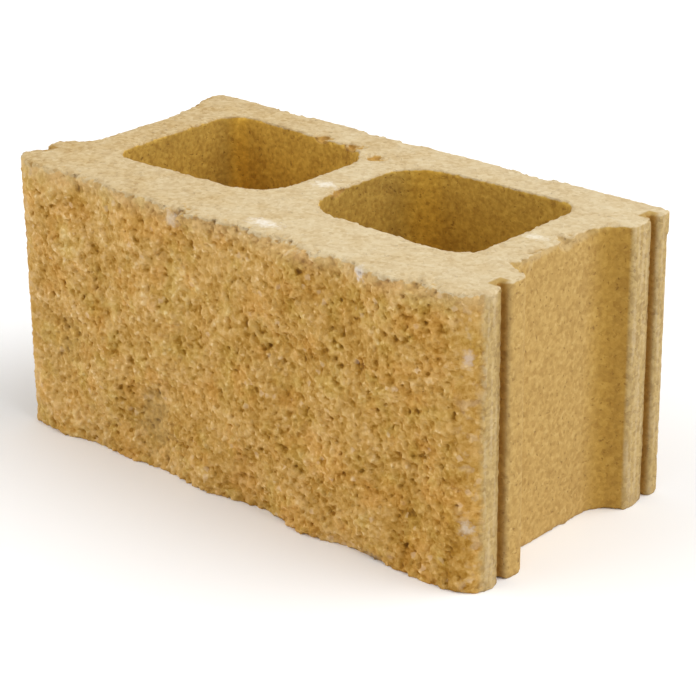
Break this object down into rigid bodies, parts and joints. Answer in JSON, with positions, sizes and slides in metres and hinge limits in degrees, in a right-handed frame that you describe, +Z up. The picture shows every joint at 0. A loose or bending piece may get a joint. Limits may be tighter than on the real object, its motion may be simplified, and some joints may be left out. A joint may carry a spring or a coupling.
{
  "type": "split-face concrete block",
  "caption": "Hollow buff concrete masonry block with a rough split face, tapered grout cores and recessed, grooved ends, for laying in a wall.",
  "frame": {"origin": "on the lower bed, under the centre web, midway between the two ends and midway between the rear face and the mean plane of the split face", "axes": "+X along the block, +Y from the split face to the plain rear face, +Z up"},
  "size_m": [0.39, 0.1996, 0.19],
  "materials": {
    "concrete": "matte"
  },
  "bodies": {
    "root": {"concrete_block": "concrete"}
  },
  "joints": []
}
